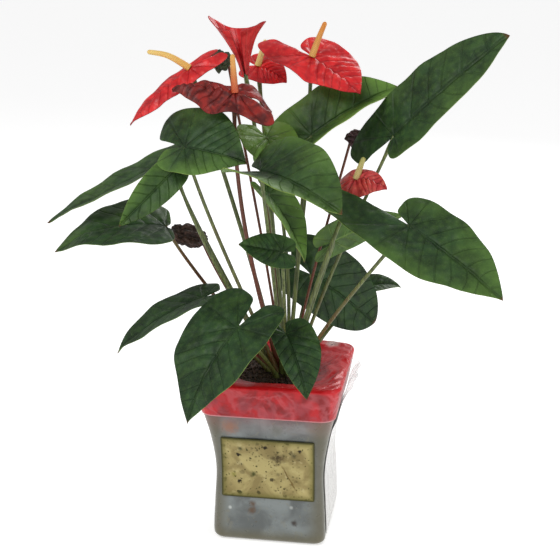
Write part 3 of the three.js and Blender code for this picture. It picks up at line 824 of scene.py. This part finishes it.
def add_blade(name, spec, texture, tones, full, faces, node, thickness):
    bm = blade_sheet(spec, texture, tones, full)
    piece = add_piece(name, bm, faces, [node], outward=False)
    add_wall(piece, thickness, faced=True)


for number, (*shape, tones) in enumerate(LEAVES, 1):
    spec = dict(zip(HEAD, shape))
    size = sum(spec["half"])
    texture = (0.022 * size, 0.006 * size + 0.25, 3.7 * number)
    add_blade(f"leaf_{number}", spec, texture, tones, LEAF_FULL[number - 1], leaf_faces,
              f"leaf_{number}_blade", LEAF_THICKNESS)

# ---- Stems ----
# Every leaf and flower has one round stem from the crown. It is thicker and often ruddy at the
# foot, where it sheathes the next, olive higher up, and swells just under the blade.
STEM_SIDES = 12
STEM_STEPS = 44
STEM_SUNK = 6
PETIOLE_RADIUS = 1.8
STALK_RADIUS = 2.05


def stem_foot(node):
    """Where a stem leaves the soil: the middle of the lowest ring of its node, in millimetres."""
    points = {tuple(round(part, 6) for part in vert.co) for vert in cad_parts[node].data.vertices}
    low = min(point[2] for point in points)
    ring = [Vector(point) for point in points if point[2] < low + 3 * MM]
    return sum(ring, Vector()) / len(ring) / MM


def stem_line(node, spec, end):
    """The stem's middle line from under the soil to its end."""
    start = stem_foot(node)
    bend = Vector((*spec["bend"], 0))
    reach = end - start
    low = start + bend + Vector((reach.x * 0.26, reach.y * 0.26, reach.z * 0.36))
    high = start + bend + Vector((reach.x * 0.68, reach.y * 0.68, reach.z * 0.7))
    line = [bezier([start, low, high, end], step / STEM_STEPS) for step in range(STEM_STEPS + 1)]
    buried = start - (line[1] - line[0]).normalized() * STEM_SUNK
    return [buried, *line]


def turned_rings(line):
    """Two directions across a line at each of its points, turned no more than the line turns."""
    tangents = []
    for index in range(len(line)):
        before, after = line[max(index - 1, 0)], line[min(index + 1, len(line) - 1)]
        tangents.append((after - before).normalized())
    side = tangents[0].orthogonal().normalized()
    rings = []
    for index, tangent in enumerate(tangents):
        if index:
            side = tangents[index - 1].rotation_difference(tangent) @ side
        rings.append((side, tangent.cross(side)))
    return rings


def add_tube(bm, line, sides, radius):
    """A closed tube along a line. radius(step, angle) is in millimetres, and step counts points."""
    rings = turned_rings(line)

    def place(slot, step):
        angle = slot / sides * math.tau
        first, second = rings[step]
        return line[step] + (first * math.cos(angle) + second * math.sin(angle)) * radius(step, angle)

    extrude_solid(bm, sides, len(line), place)


def mark_share(bm, name, value):
    """Writes value(point in millimetres) on every corner as an attribute that materials read."""
    layer = bm.verts.layers.float.get(name) or bm.verts.layers.float.new(name)
    for vert in bm.verts:
        vert[layer] = value(vert.co / MM)


def stem_finish():
    finish, tree, shader, where = new_finish("stem_skin")
    squeezed = add(tree, "Mapping", {"Vector": where, "Scale": (1, 1, 0.08)}).outputs["Vector"]
    streak = mottle(tree, squeezed, 700)
    colour = blend(tree, step_up(tree, streak, 0.35, 0.65), "424d24", "6b773d")
    ruddy = attribute(tree, "ruddy")
    patchy = calc(tree, "ADD", ruddy, calc(tree, "MULTIPLY_ADD", mottle(tree, where, 90), 0.5, -0.25))
    colour = blend(tree, step_up(tree, patchy, 0.1, 0.9, 0.95), colour, "6a2c1b")
    fleck = step_up(tree, mottle(tree, where, 1100, 2), 0.6, 0.7, 0.4)
    colour = blend(tree, fleck, colour, "8d8d5b")
    feed(tree, shader, {"Base Color": colour, "Roughness": 0.42, "Normal": relief(tree, streak, 0.0004)})
    return finish


stem_skin = stem_finish()


def add_stem(name, node, spec, radius, ruddy):
    """ruddy is how red-brown the stem is at its foot and at its top."""
    axes = blade_axes(spec)
    end = axes[0] - axes[3] * 0.4
    line = stem_line(node, spec, end)
    last = len(line) - 1

    def thickness(step, angle):
        share = step / last
        foot = 0.75 * math.exp(-(share / 0.09) ** 2)
        knee = 0.32 * math.exp(-((share - 0.95) / 0.035) ** 2)
        groove = 0.06 * math.cos(2 * angle + share * 3)
        return radius * (1 - 0.12 * share + foot + knee + groove)

    bm = bmesh.new()
    add_tube(bm, line, STEM_SIDES, thickness)
    top = line[-1].z

    def redness(point):
        share = min(max((point.z - SOIL_TOP) / (top - SOIL_TOP), 0), 1)
        return ruddy[0] + (ruddy[1] - ruddy[0]) * share

    mark_share(bm, "ruddy", redness)
    add_piece(name, bm, [stem_skin], [node])


LEAF_RUDDY = [(0.3, 0.1), (0.2, 0), (0.7, 0.05), (0.1, 0), (0.5, 0.1), (0.2, 0.1), (0.9, 0.5),
              (0.3, 0), (0.3, 0.1), (0.2, 0.1), (0.2, 0.1), (0.3, 0.1), (0.3, 0.1), (0.1, 0),
              (0.1, 0), (0.2, 0), (0.2, 0)]
for number, (row, ruddy) in enumerate(zip(LEAVES, LEAF_RUDDY), 1):
    spec = dict(zip(HEAD, row))
    add_stem(f"leaf_stem_{number}", f"leaf_{number}_petiole", spec, PETIOLE_RADIUS, ruddy)

# ---- Flowers ----
# A flower is a waxy heart-shaped spathe, quilted between its veins, on a stalk like a leaf's. Fresh
# spathes are glossy red and paler behind; old ones dull, darken and shrink. A row is a leaf's,
# with the stalk's redness, the ripple and the quilting, and then the finish.
FLOWERS = [
    ((-78, -20, 301), (-132, -40, 251), (18, 13), 0, (-40, 10), (0.44, 0.4), 3, (0, 0),
     (0.1, 0), 1.2, 1.3, "red"),
    ((-30, 0, 295), (-60, -5, 295), (18, 18), 0, (0, 0), (0.1, 0.1), 0, (0, 26),
     (0.9, 0.1), 1.5, 0.6, "red"),
    ((-32, -40, 282), (-88, -50, 285), (26, 18), 15, (-45, -5), (0.64, 0.6), 4, (-18, 0),
     (1, 0.8), 6.5, 3.2, "wilted"),
    ((-32, 77, 293), (-2, 72, 278), (18, 20), -40, (0, 0), (0.4, 0.4), 4, (0, 0),
     (0.3, 0.1), 2.4, 1.2, "red"),
    ((27, 40, 307), (77, 15, 277), (34, 30), -14, (8, -14), (0.35, 0.8), 1.5, (0, 25),
     (0.1, 0.1), 2.2, 1.4, "red"),
    ((76, -4, 199), (106, -14, 194), (14, 23), -30, (10, -12), (0.7, 0.7), 4, (0, -30),
     (0.2, 0.1), 3.4, 2.2, "shrunken"),
]


def spathe_finish(name, deep, fresh, light, vein_code, roughness, coat):
    finish, tree, shader, where = new_finish(name)
    veins = vein_mask(tree, 0.12)
    cloud = mottle(tree, where, 75, 5, 0.8)
    colour = blend(tree, step_up(tree, cloud, 0.34, 0.66), deep, fresh)
    puckers = pucker_gap(tree, where, 210)
    colour = tinted(tree, colour, [
        (step_up(tree, attribute(tree, "tone"), 0.45, 1.1, 0.6), light),
        # Painted highlight: the middle of each raised pucker is lighter
        (step_up(tree, puckers, 0.35, 0.1, 0.3), light),
        (times(tree, veins, 0.35), vein_code),
    ])
    gloss = calc(tree, "MULTIPLY_ADD", mottle(tree, where, 200), 0.2, roughness)
    height = calc(tree, "SUBTRACT", times(tree, puckers, -0.9), times(tree, veins, 0.7))
    feed(tree, shader, {
        "Base Color": colour, "Roughness": gloss, "Normal": relief(tree, height, 0.0011),
        "Specular IOR Level": 0.3, "Coat Weight": coat, "Coat Roughness": 0.15})
    return finish


# The looks of a spathe's face, its back and its edge
SPATHE_LOOKS = {
    "red": [
        ("b30f18", "de2527", "e85242", "8c0f18", 0.3, 0.12),
        ("a5191c", "c62d2c", "d25446", "bc5044", 0.4, 0.05),
        ("8f1d22", "a52a2c", "c0504a", "8f1d22", 0.4, 0.1),
    ],
    "wilted": [
        ("4f0f0d", "8e201a", "a8402c", "33090a", 0.42, 0.05),
        ("4c1410", "86291f", "9a4a32", "7c3424", 0.5, 0),
        ("2c0c0e", "42181a", "5c2a26", "2c0c0e", 0.5, 0),
    ],
    "shrunken": [
        ("a8252b", "c94741", "e08868", "7e1a20", 0.38, 0.15),
        ("7c2a28", "a04a3c", "b8705a", "b8705a", 0.5, 0),
        ("7c1d22", "92282a", "a84a42", "7c1d22", 0.5, 0),
    ],
}
SPATHE_FACES = {
    kind: [spathe_finish(f"spathe_{kind}{face}", *look)
           for face, look in zip(["", "_back", "_edge"], looks)]
    for kind, looks in SPATHE_LOOKS.items()
}
FUNNEL_FLOWER = 2
SPATHE_THICKNESS = 0.8
for number, (*shape, ruddy, ripple, quilt, kind) in enumerate(FLOWERS, 1):
    spec = dict(zip(HEAD, shape))
    if number != FUNNEL_FLOWER:
        add_blade(f"spathe_{number}", spec, (ripple, quilt, 2.9 * number + 40), (0.5, 0.5), (0.3, 0.3),
                  SPATHE_FACES[kind],
                  f"flower_{number}_spathe", SPATHE_THICKNESS)
    add_stem(f"flower_stalk_{number}", f"flower_{number}_stalk", spec, STALK_RADIUS, ruddy)

# The second flower is still half rolled: its spathe stands as a funnel, open at the front, with
# its point and one lobe as two horns. Angles are in degrees and lengths in millimetres.
FUNNEL_PLACE = (-30, 0, 294)
FUNNEL_BACK = 95
FUNNEL_HALF_TURN = 165
FUNNEL_HEIGHT = 41
FUNNEL_FOOT = 3.6
FUNNEL_MOUTH = 20
FUNNEL_CURL = 1.7
FUNNEL_DEPTH = 0.8
FUNNEL_LEAN = 8
HORN_RISE = 8
LEFT_HORN_RISE = 4
FUNNEL_RUFFLE = 2.4
bm = bmesh.new()
tone, along, across, phase = blade_layers(bm)
bmesh.ops.create_grid(bm, x_segments=90, y_segments=40, size=1)
for vert in bm.verts:
    angle = math.radians(FUNNEL_BACK + FUNNEL_HALF_TURN * vert.co.x)
    up = (vert.co.y + 1) / 2
    horn = abs(math.cos(angle))
    left = max(-math.cos(angle), 0)
    radius = FUNNEL_FOOT + FUNNEL_MOUTH * up ** FUNNEL_CURL * (0.75 + 0.4 * horn ** 2)
    height = up * (FUNNEL_HEIGHT + HORN_RISE * horn ** 3 + LEFT_HORN_RISE * left ** 4)
    ruffle = noise.noise(Vector((math.cos(angle) * 2, math.sin(angle) * 2, up * 2))) * FUNNEL_RUFFLE * up
    out = radius + ruffle + 0.4 * math.cos(angle * 9) * up
    place = Vector((out * math.cos(angle) - FUNNEL_LEAN * up, out * math.sin(angle) * FUNNEL_DEPTH, height))
    vert[tone] = 0.3 + 0.5 * up * abs(ruffle) / FUNNEL_RUFFLE
    vert[along] = up * 0.9
    vert[across] = 1
    vert[phase] = angle * 2.2
    vert.co = (from_soil(FUNNEL_PLACE) + place) * MM
face_towards(bm, Vector((0, 0, 1)))
funnel = add_piece("spathe_2", bm, SPATHE_FACES["red"], ["flower_2_spathe"], outward=False)
add_wall(funnel, SPATHE_THICKNESS, faced=True)

# ---- Spadices ----
# The spadix is the flower's fleshy spike, set close with hundreds of tiny florets in crossing
# spirals. It stands on the spathe, tapers and ripens from its foot to its tip.
SPADIX_STEPS = 84
SPADIX_SIDES = 40
SPADIX_FOOT = 3.2
SPADIX_TIP = 2
# The flower's number, the spike's tip in millimetres from the soil, how far it bows up, and its
# colours at foot and tip
SPADICES = [
    (1, (-117, -25, 316), 5, "e8b45a", "efd07a"),
    (3, (-34, -40, 317), 1, "c8502f", "e8b05c"),
    (4, (-24, 77, 319), 1, "e6c878", "f0dc9a"),
    (5, (40, 40, 340), 1.5, "e0b060", "dc8a2c"),
    (6, (83, -4, 220), 0.8, "c9b77a", "b3b66a"),
]


def spadix_finish(number, foot, tip):
    finish, tree, shader, where = new_finish(f"spadix_skin_{number}")
    along = attribute(tree, "along")
    floret = attribute(tree, "floret")
    patchy = calc(tree, "ADD", along, calc(tree, "MULTIPLY_ADD", mottle(tree, where, 200), 0.4, -0.2))
    colour = blend(tree, step_up(tree, patchy, 0, 1), foot, tip)
    # Painted shade: darker brown in the grooves between the florets
    colour = blend(tree, step_up(tree, floret, 0.45, 0.1, 0.35), colour, "9a5a20")
    feed(tree, shader, {
        "Base Color": colour, "Roughness": 0.48, "Subsurface Weight": 0.15,
        "Subsurface Radius": (0.002, 0.001, 0.0005),
        "Normal": relief(tree, mottle(tree, where, 1500, 2), 0.0002)})
    return finish


def add_spadix(number, tip, bow, foot_code, tip_code):
    spec = dict(zip(HEAD, FLOWERS[number - 1]))
    base, _, _, normal, _ = blade_axes(spec)
    start = base + normal * 0.4
    end = from_soil(tip)
    middle = (start + end) / 2 + Vector((0, 0, 1)) * bow
    line = [bezier([start, middle, middle, end], step / SPADIX_STEPS) for step in range(SPADIX_STEPS + 1)]
    length = (end - start).length

    def bump(step, angle):
        turns = length / 2.6
        share = step / SPADIX_STEPS
        one = math.sin(5 * angle + math.pi * turns * share)
        other = math.sin(5 * angle - math.pi * turns * share)
        return one * one * other * other

    def thickness(step, angle):
        share = step / SPADIX_STEPS
        body = SPADIX_FOOT + (SPADIX_TIP - SPADIX_FOOT) * share
        left = (1 - share) * length
        end_round = math.sqrt(max(1 - (1 - min(left / SPADIX_TIP, 1)) ** 2, 0.01))
        return body * end_round + 0.28 * bump(step, angle) * end_round

    bm = bmesh.new()
    add_tube(bm, line, SPADIX_SIDES, thickness)
    axis = (end - start).normalized()
    mark_share(bm, "along", lambda point: (point - start).dot(axis) / length)
    slot = bm.verts.layers.int["slot"]
    floret = bm.verts.layers.float.new("floret")
    for vert in bm.verts:
        share = min(max((vert.co / MM - start).dot(axis) / length, 0), 1)
        vert[floret] = bump(share * SPADIX_STEPS, vert[slot] / SPADIX_SIDES * math.tau)
    finish = spadix_finish(number, foot_code, tip_code)
    add_piece(f"spadix_{number}", bm, [finish], [f"flower_{number}_spadix"])


for row in SPADICES:
    add_spadix(*row)

# ---- Withered flowers ----
# Three old flowers have dried onto their stalks. The spathe is shrivelled round its spike into a
# dark brown crumpled knot.
WITHERED = [
    ((64, 45, 231), (89, 45, 221), (10, 10), -40, (0, 0), "2a1519", "54303a"),
    ((-77, 18, 128), (-112, 8, 138), (13, 13), 40, (-15, 20), "2a1b17", "54392f"),
    ((-50, 25, 305), (-70, 20, 300), (11, 11), 40, (0, 0), "1c2416", "3d4a2b"),
]


def withered_finish(number, dark, code):
    finish, tree, shader, where = new_finish(f"withered_skin_{number}")
    cloud = mottle(tree, where, 160, 6, 1)
    colour = blend(tree, step_up(tree, cloud, 0.35, 0.65), dark, code)
    ridge = step_up(tree, mottle(tree, where, 380, 4, 1.5), 0.6, 0.75, 0.6)
    colour = blend(tree, ridge, colour, "8a6f5e")
    feed(tree, shader, {"Base Color": colour, "Roughness": 0.62, "Normal": relief(tree, cloud, 0.0018)})
    return finish


for number, (base, tip, half, roll, bend, dark, code) in enumerate(WITHERED, 1):
    spec = dict(zip(HEAD, (base, tip, half, roll, (10, 10), (0.2, 0.2), 2, bend)))
    node = f"withered_flower_{number}"
    origin, along, across, normal, length = blade_axes(spec)
    middle = origin + along * length * 0.4
    bm = bmesh.new()
    bmesh.ops.create_icosphere(bm, subdivisions=5, radius=1)
    for vert in bm.verts:
        way = vert.co.copy()
        fold = abs(noise.noise(Vector((way.x * 1.2, way.y * 2.6, way.z * 2.6 + number * 5))))
        wrinkle = abs(noise.noise(way * 5 + Vector((number * 3, 0, 0))))
        swell = 0.72 + 0.75 * fold - 0.3 * wrinkle
        flat = across * way.y * half[0] + normal * way.z * half[0] * 0.72
        vert.co = (middle + along * way.x * length * 0.56 * (0.85 + 0.3 * fold) + flat * swell) * MM
    stalk = stem_line(node, spec, origin + along * 2)
    add_tube(bm, stalk, STEM_SIDES, lambda step, angle: 1.35 + 0.9 * math.exp(-(step / 4) ** 2))
    mark_share(bm, "ruddy", lambda point: 0.85)
    for face in bm.faces:
        face.material_index = 0 if len(face.verts) == 3 else 1
    add_piece(node.replace("flower", "bloom"), bm, [withered_finish(number, dark, code), stem_skin],
              [node])

# ---- Floor, light and camera ----
# A pale studio floor, one large soft light above the left, weaker ones from the right and from
# behind, and an even surround.
FLOOR_HALF = 30
FLOOR_GAP = 0.2
bm = bmesh.new()
bmesh.ops.create_grid(bm, x_segments=1, y_segments=1, size=FLOOR_HALF)
floor_mesh = bpy.data.meshes.new("floor")
bm.to_mesh(floor_mesh)
bm.free()
floor_mesh.transform(Matrix.Translation((0, 0, -FLOOR_GAP * MM)))
floor = add_object("floor", floor_mesh)
floor_finish, floor_tree, floor_shader, _ = new_finish("pale_floor")
feed(floor_tree, floor_shader, {"Base Color": (0.86, 0.86, 0.86, 1), "Roughness": 0.9,
                                "Emission Color": (1, 1, 1, 1), "Emission Strength": 0.5})
floor_mesh.materials.append(floor_finish)


def add_soft_light(name, place, aim, size, power):
    data = bpy.data.lights.new(name, "AREA")
    data.shape = "DISK"
    data.size = size
    data.energy = power
    light = add_object(name, data)
    light.location = place
    light.rotation_euler = (Vector(aim) - Vector(place)).to_track_quat("-Z", "Y").to_euler()


add_soft_light("key", (-0.9, -1.3, 1.7), (0, 0, 0.3), 0.9, 17)
add_soft_light("fill", (1.5, -0.6, 0.9), (0, 0, 0.25), 1.2, 8)
add_soft_light("back", (0.5, 1.4, 1.3), (0, 0, 0.35), 1, 12)
world = bpy.data.worlds.new("surround")
world.use_nodes = True
feed(world.node_tree, world.node_tree.nodes["Background"], {"Color": (1, 1, 1, 1), "Strength": 0.5})
bpy.context.scene.world = world
bpy.context.scene.view_settings.view_transform = "Standard"

CAMERA_TURN = 9.36
CAMERA_TILT = 16.5
camera_data = bpy.data.cameras.new("camera")
camera_data.lens = 79.07
camera_data.sensor_width = 36
camera_data.clip_end = 20
camera = add_object("camera", camera_data)
camera.location = (0.1898, -1.1342, 0.596)
camera.rotation_euler = (math.radians(90 - CAMERA_TILT), 0, math.radians(CAMERA_TURN))
bpy.context.scene.camera = camera
